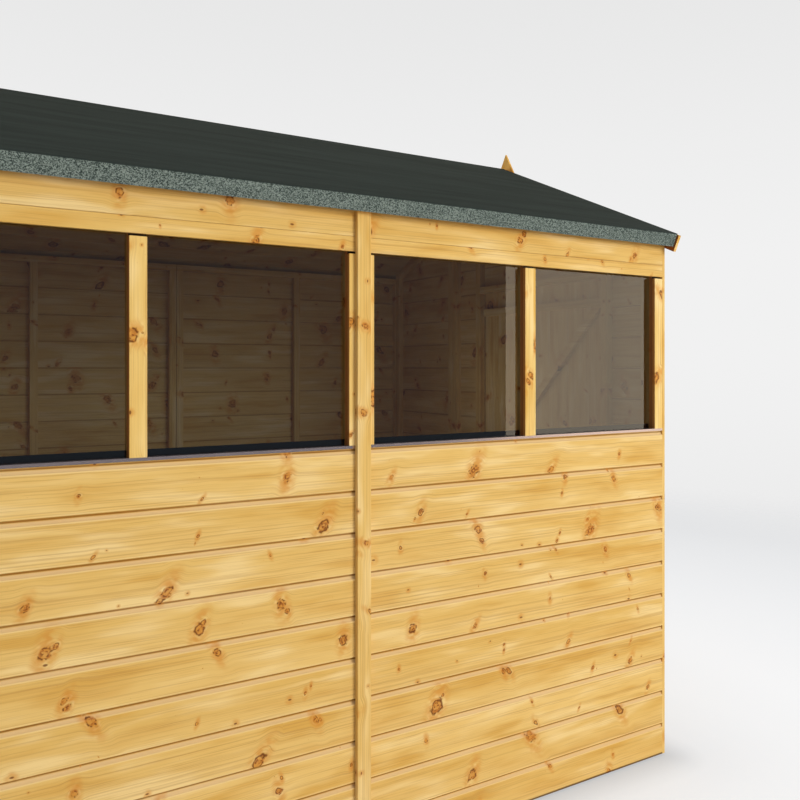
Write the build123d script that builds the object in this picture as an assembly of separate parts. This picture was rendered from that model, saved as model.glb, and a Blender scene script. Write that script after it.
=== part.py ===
from build123d import *
from math import radians, cos, sin, tan
import os

# Apex garden shed of shiplap boards on light frames, with a felted roof.
# +X runs along the shed to the door gable, -Y is the windowed side, +Z is up.
# Millimetres, ground at z = 0.

# Plan
panel_length = 1200.0       # one side-wall panel, two to a side
panel_gap = 2.0             # joint between two neighbouring panels
shed_width = 1800.0         # over the cladding of the side walls
wide_gable_panel = 1200.0   # from the windowed wall's frame to the joint with the narrow panel

# Cladding
clad_thick = 12.0
clad_bottom = 5.0
first_joint = 112.0         # height of the lowest joint between boards
board_cover = 113.7
cove_height = 14.0
cove_depth = 6.0
joint_gap = 1.5
lap_line = 1.5              # small bevel on the inner face at each joint
lap_drop = 4.0              # how far the inner joint lies below the outer one
strip_width = 42.0
strip_thick = 15.0
corner_width = 40.0         # flush strip at each end of a gable, as thick as the cladding

# Frames
frame_depth = 28.0
edge_stud = 38.0            # in the windowed wall, as wide as its stiles
mid_stud = 42.0
plain_stud = 31.0           # in the other walls
rail_height = 28.0
wall_height = 1829.0

# Window band
frieze_height = 113.7       # plain board under the roof
head_trim_height = 40.3
window_height = 529.7       # from the sill to the underside of the head trim
sill_thick = 8.0
stile_gap = 6.5             # open joint between the stiles and the head trim
head_rail_rise = 6.5        # from the trim's lower edge to the rail behind it
trim_joint = 0.5
glass_setback = 25.0        # from the cladding face
glass_thick = 3.0
bead_height = 16.0
bead_depth = 9.0

# Door, in the wide panel of the +X gable
door_clear_near = 268.5     # from the windowed wall's face to the latch side of the clear opening
door_clear_far = 220.0      # from the hinge side of the clear opening to the joint with the narrow panel
door_head_drop = 135.0      # from the wall's height down to the clear opening
door_lap = 18.0             # how far the leaf covers its posts and header
door_gap = 6.0              # between the leaf and the cladding round it
door_stand_off = 5.0        # between the leaf and its posts
door_bottom = 20.0
door_post = 31.0
door_board_thick = 12.0
door_groove = 3.0
ledge_height = 32.0
ledge_thick = 20.0
ledge_end_gap = 9.0         # between the ledge ends and the posts
bottom_ledge_rise = 165.0   # from the leaf's lower edge to the middle of the ledge
middle_ledge_rise = 865.0
top_ledge_drop = 88.0       # from the clear opening's top
brace_width = 48.0          # measured level

# Tee hinges and pad bolt
hinge_axis_out = 13.0       # from the cladding face
strap_length = 300.0
strap_root = 34.0
strap_tip = 18.0
iron_thick = 3.0
barrel_radius = 6.0
pin_radius = 3.0
pin_clearance = 0.3
barrel_height = 110.0
knuckle_height = 36.0
knuckle_gap = 1.0
hinge_plate_width = 36.0
bolt_height = 960.0
bolt_plate = (110.0, 36.0)
bolt_radius = 5.0
bolt_bedding = 1.0          # how deep the bolt lies in its plate
knob_radius = 4.0
knob_length = 16.0
bolt_edge_gap = 12.0        # from the leaf's free edge to the drawn bolt
keeper_size = (14.0, 32.0)

# Roof
roof_pitch = 23.8
eave_reach = 56.4           # felt surface beyond the wall's face
felt_thick = 2.0
roof_board_thick = 12.0
roof_board_cover = 100.0
roof_groove = 1.5
ridge_batten_width = 28.0
ridge_batten_depth = 44.0
eave_batten_width = 20.0
eave_batten_thick = 32.0
ridge_gap = 2.0
bargeboard_height = 58.0
bargeboard_thick = 12.0
bargeboard_drop = 4.0       # below the felt's surface
bargeboard_overrun = 7.0    # beyond the felt's fold
bargeboard_gap = 1.0
finial_half_height = 90.0
finial_half_width = 53.0
finial_thick = 8.0
finial_rise = 65.0          # tip above the ridge

# Floor
joist_height = 44.0
joist_width = 44.0
joist_count = 5
floor_board_thick = 12.0
floor_board_cover = 113.7
floor_groove = 1.5
floor_clearance = 0.5

seat = 0.3                  # air between pieces that rest on each other

# Worked-out places
half_width = shed_width / 2
half_length = panel_length
gable_face = half_length + clad_thick
boards_end = half_width - corner_width      # of a gable's cladding, on either side of the middle
frame_inner = half_width - clad_thick - frame_depth
gable_joint = wide_gable_panel - frame_inner
floor_top = joist_height + floor_board_thick
stud_bottom = floor_top + rail_height
stud_top = wall_height - rail_height
head_top = wall_height - frieze_height - trim_joint
head_underside = head_top - head_trim_height
sill_top = head_underside - window_height
sill_bottom = sill_top - sill_thick
head_rail_bottom = head_underside + head_rail_rise
pitch = radians(roof_pitch)
roof_shell = felt_thick + roof_board_thick
felt_fold = roof_shell + eave_batten_thick
bargeboard_bottom = bargeboard_drop + bargeboard_height
half_gap = panel_gap / 2

# Turns that bring a wall built on the -Y side to its own side
back_side = Rot(0, 0, 180)
door_side = Rot(0, 0, 90)
rear_side = Rot(0, 0, -90)


def block(x0, x1, y0, y1, z0, z1):
    return Pos(x0, y0, z0) * Box(x1 - x0, y1 - y0, z1 - z0, align=(Align.MIN,) * 3)


def on_wall(face, s0, s1, d0, d1, z0, z1):
    """A bar on a wall that faces -Y: s runs along the wall, d goes in from its face."""
    return block(s0, s1, -face + d0, -face + d1, z0, z1)


def joint_heights(bottom, top):
    heights = []
    z = first_joint
    while z < top - 2 * cove_height:
        if z > bottom + 2 * cove_height:
            heights.append(z)
        z += board_cover
    return heights


def shiplap(face, s0, s1, bottom, top, open_top=False):
    """Boards whose top edge is scooped out under the square lip of the next board.

    With an open top, the highest scoop stays bare for a sill to cover.
    """
    front = -face
    back = -face + clad_thick
    joints = joint_heights(bottom, top)
    scoops = list(joints)
    if open_top:
        scoops.append(top - joint_gap)
    edges = []
    start = (front, bottom)
    for z in scoops:
        cove_start = (front, z - cove_height)
        cove_end = (front + cove_depth, z)
        middle = (front + cove_depth * cos(radians(45)), z - cove_height * sin(radians(45)))
        lip = (front + cove_depth, z + joint_gap)
        edges.append(Line(start, cove_start))
        edges.append(ThreePointArc(cove_start, middle, cove_end))
        edges.append(Line(cove_end, lip))
        start = (front, z + joint_gap)
        if z in joints:
            edges.append(Line(lip, start))
    outer_top = [lip] if open_top else [start, (front, top)]
    edges.append(Polyline(*outer_top, (back, top)))
    start = (back, top)
    for z in reversed(joints):
        inner = z - lap_drop
        notch = [(back, inner + lap_line), (back - lap_line, inner), (back, inner - lap_line)]
        edges.append(Polyline(start, *notch))
        start = notch[-1]
    edges.append(Polyline(start, (back, bottom), (front, bottom)))
    profile = make_face(Curve() + edges)
    return Pos(s0, 0, 0) * extrude(Plane.YZ * profile, s1 - s0)


def grooved_board(width, thick, cover, groove):
    """Section of a boarded sheet: x over the width, y up, V joints in the lower face."""
    count = max(1, round(width / cover))
    points = [(0, 0)]
    for i in range(1, count):
        x = width * i / count
        points += [(x - groove, 0), (x, groove), (x + groove, 0)]
    points += [(width, 0), (width, thick), (0, thick)]
    return make_face(Polyline(*points, close=True))


def roof_underside(drop=0.0):
    """Everything under the roof boards of a wall on the -Y side, lowered by a drop."""
    low = wall_height + seat - drop
    peak = low + half_width * tan(pitch)
    outline = Polyline((-half_width, 0), (half_width, 0), (half_width, low), (0, peak),
                       (-half_width, low), close=True)
    reach = 2 * gable_face
    return extrude(Plane.XZ * make_face(outline), reach, both=True)


def across(shape):
    """The same piece on both sides of the ridge."""
    return [shape, mirror(shape, about=Plane.XZ)]


parts = {}


def keep(node, shapes):
    if not isinstance(shapes, list):
        shapes = [shapes]
    parts[node] = shapes


# Side walls: two panels each, built on the -Y side
side_panels = ((-half_length, -half_gap), (half_gap, half_length))


def stud_spans(s0, s1, end_width=edge_stud, mid_width=mid_stud):
    middle = (s0 + s1) / 2
    return ((s0, s0 + end_width), (middle - mid_width / 2, middle + mid_width / 2), (s1 - end_width, s1))


def bay_spans(s0, s1):
    first, middle, last = stud_spans(s0, s1)
    return ((first[1], middle[0]), (middle[1], last[0]))


def frame_bar(face, s0, s1, z0, z1):
    return on_wall(face, s0, s1, clad_thick, clad_thick + frame_depth, z0, z1)


def side_studs(*widths):
    return [frame_bar(half_width, a, b, stud_bottom, stud_top)
            for panel in side_panels for a, b in stud_spans(*panel, *widths)]


def side_rails():
    return [frame_bar(half_width, s0, s1, z, z + rail_height)
            for s0, s1 in side_panels for z in (floor_top, stud_top)]


def side_cover_strip():
    top = wall_height - strip_thick * tan(pitch)
    return on_wall(half_width, -strip_width / 2, strip_width / 2, -strip_thick, 0, clad_bottom, top)


def window_sill(s0, s1):
    sill = on_wall(half_width, s0, s1, 0, clad_thick, sill_bottom, sill_top)
    for a, b in bay_spans(s0, s1):
        sill += frame_bar(half_width, a, b, sill_bottom, sill_top)
    return sill


def window_stiles(s0, s1):
    top = head_underside - stile_gap
    return [on_wall(half_width, a, b, 0, clad_thick, sill_top, top) for a, b in stud_spans(s0, s1)]


def window_panes(s0, s1):
    return [on_wall(half_width, a + seat, b - seat, glass_setback, glass_setback + glass_thick,
                    sill_top + seat, head_rail_bottom - seat) for a, b in bay_spans(s0, s1)]


def glazing_beads(s0, s1):
    front = glass_setback + glass_thick + seat
    return [on_wall(half_width, a, b, front, front + bead_depth, sill_top, sill_top + bead_height)
            for a, b in bay_spans(s0, s1)]


def window_rails():
    rails = side_rails()
    for s0, s1 in side_panels:
        for a, b in bay_spans(s0, s1):
            rails.append(frame_bar(half_width, a, b, sill_bottom - rail_height, sill_bottom))
            rails.append(frame_bar(half_width, a, b, head_rail_bottom, head_rail_bottom + rail_height))
    return rails


left, right = side_panels
keep("window_wall_cladding_left", shiplap(half_width, *left, clad_bottom, sill_bottom, open_top=True))
keep("window_wall_cladding_right", shiplap(half_width, *right, clad_bottom, sill_bottom, open_top=True))
keep("window_wall_friezes", [on_wall(half_width, *p, 0, clad_thick, wall_height - frieze_height, wall_height)
                             for p in side_panels])
keep("window_wall_studs", side_studs())
keep("window_wall_rails", window_rails())
keep("window_head_trims", [on_wall(half_width, *p, 0, clad_thick, head_underside, head_top)
                           for p in side_panels])
keep("window_stiles", window_stiles(*left) + window_stiles(*right))
keep("window_sills", [window_sill(*p) for p in side_panels])
keep("window_panes_left", window_panes(*left))
keep("window_panes_right", window_panes(*right))
keep("window_glazing_beads", glazing_beads(*left) + glazing_beads(*right))
keep("back_wall_cladding_left", back_side * shiplap(half_width, *left, clad_bottom, wall_height))
keep("back_wall_cladding_right", back_side * shiplap(half_width, *right, clad_bottom, wall_height))
keep("back_wall_studs", [back_side * s for s in side_studs(plain_stud, plain_stud)])
keep("back_wall_rails", [back_side * s for s in side_rails()])
keep("side_wall_cover_strips", [side_cover_strip(), back_side * side_cover_strip()])


# Gables: built on the -Y side, so s is +Y on the door gable and -Y on the rear one
def gable_cladding(s0, s1, bottom=clad_bottom):
    peak = wall_height + half_width * tan(pitch)
    return shiplap(gable_face, s0, s1, bottom, peak) & roof_underside()


rail_drop = rail_height / cos(pitch)


def gable_studs(spans):
    return [frame_bar(gable_face, a, b, stud_bottom, 2 * wall_height) & roof_underside(rail_drop)
            for a, b in spans]


def gable_rails(joint):
    rails = [frame_bar(gable_face, -frame_inner, joint - half_gap, floor_top, stud_bottom),
             frame_bar(gable_face, joint + half_gap, frame_inner, floor_top, stud_bottom)]
    slope = roof_underside() - roof_underside(rail_drop)
    for a, b in ((-frame_inner, -half_gap), (half_gap, frame_inner)):
        rails.append(frame_bar(gable_face, a, b, stud_bottom, 2 * wall_height) & slope)
    return rails


def gable_cover_strip(joint):
    strip = on_wall(gable_face, joint - strip_width / 2, joint + strip_width / 2, -strip_thick, 0,
                    clad_bottom, 2 * wall_height)
    below_bargeboard = (bargeboard_bottom - roof_shell) / cos(pitch) + seat
    return strip & roof_underside(below_bargeboard)


def gable_corner_strips():
    """Square strips that the gable's boards butt against, flush with the side walls' faces."""
    return [on_wall(gable_face, a, b, 0, clad_thick, clad_bottom, 2 * wall_height) & roof_underside()
            for a, b in ((-half_width, -boards_end - trim_joint), (boards_end + trim_joint, half_width))]


clear_near = -half_width + door_clear_near
clear_far = gable_joint - door_clear_far
door_clear_top = wall_height - door_head_drop
leaf_near = clear_near - door_lap
leaf_far = clear_far + door_lap
leaf_top = door_clear_top + door_lap

door_gable_spans = ((-frame_inner, -frame_inner + plain_stud),
                    (clear_near - door_post, clear_near),
                    (clear_far, clear_far + door_post),
                    (gable_joint - half_gap - plain_stud, gable_joint - half_gap),
                    (gable_joint + half_gap, gable_joint + half_gap + plain_stud),
                    (frame_inner - plain_stud, frame_inner))

wide_middle = (frame_inner - gable_joint) / 2
rear_gable_spans = ((-frame_inner, -frame_inner + plain_stud),
                    (-gable_joint - half_gap - plain_stud, -gable_joint - half_gap),
                    (-gable_joint + half_gap, -gable_joint + half_gap + plain_stud),
                    (wide_middle - plain_stud / 2, wide_middle + plain_stud / 2),
                    (frame_inner - plain_stud, frame_inner))

door_header = frame_bar(gable_face, clear_near, clear_far, door_clear_top, door_clear_top + rail_height)

keep("door_gable_cladding_latch_side", door_side * gable_cladding(-boards_end, leaf_near - door_gap))
keep("door_gable_cladding_hinge_side",
     door_side * gable_cladding(leaf_far + door_gap, gable_joint - half_gap))
keep("door_gable_cladding_over_door",
     door_side * gable_cladding(leaf_near - door_gap, leaf_far + door_gap, leaf_top + door_gap))
keep("door_gable_cladding_narrow", door_side * gable_cladding(gable_joint + half_gap, boards_end))
keep("door_gable_posts", [door_side * s for s in gable_studs(door_gable_spans)])
keep("door_gable_rails", [door_side * s for s in gable_rails(gable_joint) + [door_header]])
keep("rear_gable_cladding_wide", rear_side * gable_cladding(-gable_joint + half_gap, boards_end))
keep("rear_gable_cladding_narrow", rear_side * gable_cladding(-boards_end, -gable_joint - half_gap))
keep("rear_gable_posts", [rear_side * s for s in gable_studs(rear_gable_spans)])
keep("rear_gable_rails", [rear_side * s for s in gable_rails(-gable_joint)])
keep("gable_cover_strips", [door_side * s for s in [gable_cover_strip(gable_joint)] + gable_corner_strips()]
     + [rear_side * s for s in [gable_cover_strip(-gable_joint)] + gable_corner_strips()])


# Door leaf: vertical boards on three ledges, with a brace in each half
leaf_front = -door_stand_off
ledge_centres = (door_bottom + bottom_ledge_rise, door_bottom + middle_ledge_rise,
                 door_clear_top - top_ledge_drop)
hinge_axis = leaf_far + door_gap / 2
hinge_centres = (ledge_centres[0], ledge_centres[2])


def door_boards():
    section = grooved_board(leaf_far - leaf_near, door_board_thick, board_cover, door_groove)
    leaf = extrude(section, leaf_top - door_bottom)
    return Pos(leaf_near, -gable_face + leaf_front, door_bottom) * leaf


def door_ledge(z):
    return on_wall(gable_face, clear_near + ledge_end_gap, clear_far - ledge_end_gap,
                   leaf_front + door_board_thick, leaf_front + door_board_thick + ledge_thick,
                   z - ledge_height / 2, z + ledge_height / 2)


def door_brace(low_ledge, high_ledge):
    """Rises from the hinge side of the lower ledge to the latch side of the upper one."""
    z0 = low_ledge + ledge_height / 2
    z1 = high_ledge - ledge_height / 2
    half = brace_width / 2
    foot = clear_far - ledge_end_gap - half
    head = clear_near + ledge_end_gap + half
    outline = Polyline((foot - half, z0), (foot + half, z0), (head + half, z1), (head - half, z1), close=True)
    front = -gable_face + leaf_front + door_board_thick
    return Pos(0, front, 0) * extrude(Plane.XZ * make_face(outline), -ledge_thick)


def barrel(z0, z1, radius):
    return Pos(hinge_axis, -gable_face - hinge_axis_out, z0) * Cylinder(
        radius, z1 - z0, align=(Align.CENTER, Align.CENTER, Align.MIN))


def hinge_strap(z):
    """Long tapered strap on the leaf, rolled round the pin at its root."""
    front = -gable_face + leaf_front
    outline = Polyline((hinge_axis, z - strap_root / 2), (hinge_axis, z + strap_root / 2),
                       (hinge_axis - strap_length, z + strap_tip / 2),
                       (hinge_axis - strap_length, z - strap_tip / 2), close=True)
    strap = Pos(0, front - iron_thick, 0) * extrude(Plane.XZ * make_face(outline), -iron_thick)
    tip = Pos(hinge_axis - strap_length, front - iron_thick, z) * (
        Rot(-90, 0, 0) * Cylinder(strap_tip / 2, iron_thick, align=(Align.CENTER, Align.CENTER, Align.MIN)))
    knuckle = barrel(z - knuckle_height / 2, z + knuckle_height / 2, barrel_radius)
    bore = barrel(z - barrel_height, z + barrel_height, pin_radius + pin_clearance)
    return strap + tip + knuckle - bore


def hinge_plate(z):
    """Upright plate on the cladding, cranked out to the knuckles above and below the strap."""
    bottom = z - barrel_height / 2
    top = z + barrel_height / 2
    near = leaf_far + door_gap
    plate = on_wall(gable_face, near, near + hinge_plate_width, -iron_thick, 0, bottom, top)
    crank = on_wall(gable_face, near, near + iron_thick, -hinge_axis_out, 0, bottom, top)
    room = knuckle_height / 2 + knuckle_gap
    pieces = plate + crank
    pieces -= on_wall(gable_face, near - iron_thick, near + 2 * iron_thick, -2 * hinge_axis_out,
                      -iron_thick - knuckle_gap, z - room, z + room)
    pieces += barrel(bottom, z - room, barrel_radius)
    pieces += barrel(z + room, top, barrel_radius)
    pieces += barrel(bottom, top, pin_radius)
    return pieces


def pad_bolt():
    """Drawn back, so the leaf swings free."""
    front = leaf_front
    s0 = leaf_near + bolt_edge_gap
    length, height = bolt_plate
    z = bolt_height
    bolt = on_wall(gable_face, s0, s0 + length, front - iron_thick, front, z - height / 2, z + height / 2)
    rod_out = front - iron_thick - bolt_radius + bolt_bedding
    rod = Pos(s0, -gable_face + rod_out, z) * (
        Rot(0, 90, 0) * Cylinder(bolt_radius, length, align=(Align.CENTER, Align.CENTER, Align.MIN)))
    bolt += rod
    staple = bolt_radius + iron_thick
    for s in (s0 + length * 0.12, s0 + length * 0.55):
        bolt += on_wall(gable_face, s, s + 2 * iron_thick, rod_out - staple, front - iron_thick,
                        z - staple, z + staple)
    knob = Pos(s0 + length * 0.8, -gable_face + rod_out, z) * (
        Rot(90, 0, 0) * Cylinder(knob_radius, knob_length, align=(Align.CENTER, Align.CENTER, Align.MIN)))
    return bolt + knob


def bolt_keeper():
    """Staple on the cladding that the bolt shoots into."""
    width, height = keeper_size
    s1 = leaf_near - 2 * door_gap
    z = bolt_height
    out = door_stand_off + 2 * bolt_radius + 2 * iron_thick
    keeper = on_wall(gable_face, s1 - width, s1, -out, 0, z - height / 2, z + height / 2)
    bore_out = leaf_front - iron_thick - bolt_radius + bolt_bedding
    bore = Pos(s1 - 2 * width, -gable_face + bore_out, z) * (
        Rot(0, 90, 0) * Cylinder(bolt_radius + 2 * pin_clearance, 4 * width,
                                 align=(Align.CENTER, Align.CENTER, Align.MIN)))
    return keeper - bore


keep("door_boards", door_side * door_boards())
keep("door_ledges", [door_side * door_ledge(z) for z in ledge_centres])
keep("door_braces", [door_side * door_brace(a, b) for a, b in zip(ledge_centres, ledge_centres[1:])])
keep("door_hinge_straps", [door_side * hinge_strap(z) for z in hinge_centres])
keep("door_hinge_plates", [door_side * hinge_plate(z) for z in hinge_centres])
keep("door_pad_bolt", door_side * pad_bolt())
keep("door_bolt_keeper", door_side * bolt_keeper())


# Roof: each slope is drawn square to itself from the felt's eave corner
eave_corner_z = wall_height + seat + roof_shell / cos(pitch) - eave_reach * tan(pitch)
slope_length = (half_width + eave_reach) / cos(pitch)


def on_slope(section, x0, x1):
    """A section with x up the slope and y square to it, run from x0 to x1 along the shed."""
    plane = Plane(origin=(x0, -half_width - eave_reach, eave_corner_z),
                  x_dir=(0, cos(pitch), sin(pitch)), z_dir=(1, 0, 0))
    return extrude(plane * section, x1 - x0)


def plumb_cut(shape, y0, y1):
    return shape & block(-2 * gable_face, 2 * gable_face, y0, y1, 0, 3 * wall_height)


def slope_bar(u0, u1, v0, v1, x0, x1):
    section = Pos(u0, v0) * Rectangle(u1 - u0, v1 - v0, align=(Align.MIN, Align.MIN))
    return on_slope(section, x0, x1)


def roof_felt():
    outline = Polyline((0, 0), (2 * slope_length, 0), (2 * slope_length, -felt_thick),
                       (felt_thick, -felt_thick), (felt_thick, -felt_fold), (0, -felt_fold), close=True)
    return plumb_cut(on_slope(make_face(outline), -gable_face, gable_face), -shed_width, -seat / 2)


def roof_boards():
    section = Pos(felt_thick, -roof_shell) * grooved_board(slope_length, roof_board_thick,
                                                           roof_board_cover, roof_groove)
    return plumb_cut(on_slope(section, -gable_face, gable_face), -shed_width, -ridge_gap / 2)


def eave_batten():
    return slope_bar(felt_thick, felt_thick + eave_batten_width, -felt_fold, -roof_shell,
                     -gable_face, gable_face)


def ridge_batten():
    """One of a pair along the ridge, between the gables' frames."""
    top = -roof_shell - seat
    end = half_length - frame_depth
    bar = slope_bar(0, 2 * slope_length, top - ridge_batten_depth, top, -end, end)
    return plumb_cut(bar, -ridge_gap / 2 - ridge_batten_width, -ridge_gap / 2)


def bargeboard():
    board = slope_bar(-bargeboard_overrun, 2 * slope_length, -bargeboard_bottom, -bargeboard_drop,
                      gable_face, gable_face + bargeboard_thick)
    return plumb_cut(board, -2 * shed_width, -bargeboard_gap / 2)


def finial():
    ridge = eave_corner_z + (half_width + eave_reach) * tan(pitch)
    middle = ridge + finial_rise - finial_half_height
    outline = Polyline((0, middle + finial_half_height), (finial_half_width, middle),
                       (0, middle - finial_half_height), (-finial_half_width, middle), close=True)
    return Pos(gable_face + bargeboard_thick, 0, 0) * extrude(Plane.YZ * make_face(outline), finial_thick)


felt = across(roof_felt())
boards = across(roof_boards())
keep("roof_felt_window_side", felt[0])
keep("roof_felt_back_side", felt[1])
keep("roof_boards_window_side", boards[0])
keep("roof_boards_back_side", boards[1])
keep("roof_battens", across(eave_batten()) + across(ridge_batten()))
gable_boards = across(bargeboard())
keep("bargeboards_door_gable", gable_boards)
keep("bargeboards_rear_gable", [mirror(board, about=Plane.YZ) for board in gable_boards])
keep("finials", [finial(), mirror(finial(), about=Plane.YZ)])


# Floor: boards across joists that run the length of the shed
floor_half_length = half_length - floor_clearance
floor_half_width = half_width - clad_thick - floor_clearance


def floor_boards():
    section = grooved_board(2 * floor_half_length, floor_board_thick, floor_board_cover, floor_groove)
    sheet = extrude(Plane.XZ * section, 2 * floor_half_width)
    sheet = Pos(-floor_half_length, 0, -floor_board_thick / 2) * sheet
    sheet = Rot(180, 0, 0) * sheet
    return Pos(0, -floor_half_width, floor_top - floor_board_thick / 2) * sheet


def floor_joists():
    spread = 2 * floor_half_width - joist_width
    joists = []
    for i in range(joist_count):
        y = -spread / 2 + spread * i / (joist_count - 1)
        joists.append(block(-floor_half_length, floor_half_length, y - joist_width / 2,
                            y + joist_width / 2, 0, joist_height))
    return joists


keep("floor_joists", floor_joists())
keep("floor_boards", floor_boards())

os.makedirs("parts", exist_ok=True)
for node, shapes in parts.items():
    solids = [solid for shape in shapes for solid in shape.solids()]
    export_step(solids[0] if len(solids) == 1 else Compound(children=solids), f"parts/{node}.step")
print(len(parts), "nodes")
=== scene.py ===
import math

import bpy
import bmesh
from mathutils import Matrix, Vector


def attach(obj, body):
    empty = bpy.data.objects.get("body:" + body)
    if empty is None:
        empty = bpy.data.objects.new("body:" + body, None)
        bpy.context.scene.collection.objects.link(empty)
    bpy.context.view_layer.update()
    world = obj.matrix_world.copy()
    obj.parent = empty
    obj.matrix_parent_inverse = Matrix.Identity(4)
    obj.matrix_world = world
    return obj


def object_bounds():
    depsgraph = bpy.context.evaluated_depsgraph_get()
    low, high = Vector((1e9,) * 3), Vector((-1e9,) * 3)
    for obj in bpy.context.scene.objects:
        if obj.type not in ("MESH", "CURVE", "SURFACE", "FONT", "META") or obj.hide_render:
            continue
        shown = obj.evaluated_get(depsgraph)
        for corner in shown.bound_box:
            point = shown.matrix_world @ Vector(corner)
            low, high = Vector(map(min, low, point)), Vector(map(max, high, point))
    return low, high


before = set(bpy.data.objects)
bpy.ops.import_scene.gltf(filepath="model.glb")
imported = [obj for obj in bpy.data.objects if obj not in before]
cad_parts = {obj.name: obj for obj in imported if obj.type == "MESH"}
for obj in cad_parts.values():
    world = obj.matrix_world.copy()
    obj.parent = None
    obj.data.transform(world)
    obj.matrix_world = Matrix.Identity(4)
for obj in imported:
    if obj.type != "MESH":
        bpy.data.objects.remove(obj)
cadBox = [list(corner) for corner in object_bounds()]
print("frame loaded:", len(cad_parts), "pieces of timber, felt, glass and iron")


def srgb(red, green, blue):
    # screen colour, 0 to 255, as the linear colour that a shader wants
    return tuple((c / 12.92 if c <= 0.04045 else ((c + 0.055) / 1.055) ** 2.4)
                 for c in (red / 255, green / 255, blue / 255)) + (1.0,)


# Camera: eye height and place solved from the photograph's two vanishing points
photoCamera = {
    "place": (-1.081, -2.8685, 1.3575),
    "turn": -31.44,      # degrees, from +Y towards +X
    "lens": 36.84,       # millimetres, as is the sensor
    "sensor": 36,
    "shiftY": -0.0405,   # horizon is 32 px above the middle of the 800 px frame
    "near": 0.05,
    "far": 200,
}


def setCamera(spec):
    data = bpy.data.cameras.new("photoCamera")
    data.lens = spec["lens"]
    data.sensor_width = spec["sensor"]
    data.shift_y = spec["shiftY"]
    data.clip_start = spec["near"]
    data.clip_end = spec["far"]
    camera = bpy.data.objects.new("photoCamera", data)
    camera.location = spec["place"]
    camera.rotation_euler = (math.radians(90), 0, math.radians(spec["turn"]))
    bpy.context.scene.collection.objects.link(camera)
    bpy.context.scene.camera = camera


setCamera(photoCamera)
print("camera set")


# Small helpers for shader trees
def put(tree, kind, inputs=None, **settings):
    # a new node: an input is linked where a socket is given, or else it is set
    node = tree.nodes.new(kind)
    for key, value in settings.items():
        setattr(node, key, value)
    for key, value in (inputs or {}).items():
        if isinstance(value, bpy.types.NodeSocket):
            tree.links.new(value, node.inputs[key])
        else:
            node.inputs[key].default_value = value
    return node


def calc(tree, operation, *values):
    return put(tree, "ShaderNodeMath", dict(enumerate(values)), operation=operation).outputs[0]


def vectorCalc(tree, operation, *values):
    node = put(tree, "ShaderNodeVectorMath", dict(enumerate(values)), operation=operation)
    return node.outputs["Value" if operation in ("DOT_PRODUCT", "LENGTH") else "Vector"]


def dot(tree, vector, weights):
    return vectorCalc(tree, "DOT_PRODUCT", vector, weights)


def joinXyz(tree, x, y, z):
    return put(tree, "ShaderNodeCombineXYZ", {"X": x, "Y": y, "Z": z}).outputs[0]


def noise(tree, vector, scale=1.0, detail=2.0, roughness=0.5):
    node = put(tree, "ShaderNodeTexNoise", {"Vector": vector, "Scale": scale, "Detail": detail,
                                            "Roughness": roughness})
    return node.outputs["Fac"]


def fade(tree, value, low, high, top=1.0):
    # 0 at low, rising smoothly to top at high; low may be the larger of the two
    node = put(tree, "ShaderNodeMapRange", {"Value": value, "From Min": low, "From Max": high,
                                            "To Min": 0.0, "To Max": top}, interpolation_type="SMOOTHSTEP")
    return node.outputs["Result"]


def blendColour(tree, amount, below, above, mode="MIX"):
    node = put(tree, "ShaderNodeMix", {"Factor": amount, 6: below, 7: above}, data_type="RGBA",
               blend_type=mode)
    return node.outputs[2]


def newMaterial(name):
    material = bpy.data.materials.new(name)
    material.use_nodes = True
    tree = material.node_tree
    tree.nodes.clear()
    surface = put(tree, "ShaderNodeBsdfPrincipled")
    put(tree, "ShaderNodeOutputMaterial", {"Surface": surface.outputs[0]})
    place = put(tree, "ShaderNodeTexCoord").outputs["Object"]
    return material, tree, surface, place


def showShader(tree, shader):
    # in place of the plain surface
    tree.links.new(shader.outputs[0], tree.nodes["Material Output"].inputs["Surface"])


def setSurface(tree, surface, colour, rough, specular, metallic=0.0):
    tree.links.new(colour, surface.inputs["Base Color"])
    surface.inputs["Roughness"].default_value = rough
    surface.inputs["Specular IOR Level"].default_value = specular
    surface.inputs["Metallic"].default_value = metallic


def addBump(tree, surface, height, strength, distance):
    bump = put(tree, "ShaderNodeBump", {"Height": height, "Strength": strength, "Distance": distance})
    tree.links.new(bump.outputs[0], surface.inputs["Normal"])


def dress(material, *nodes):
    for name in nodes:
        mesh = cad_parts[name].data
        mesh.materials.clear()
        mesh.materials.append(material)


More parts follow.
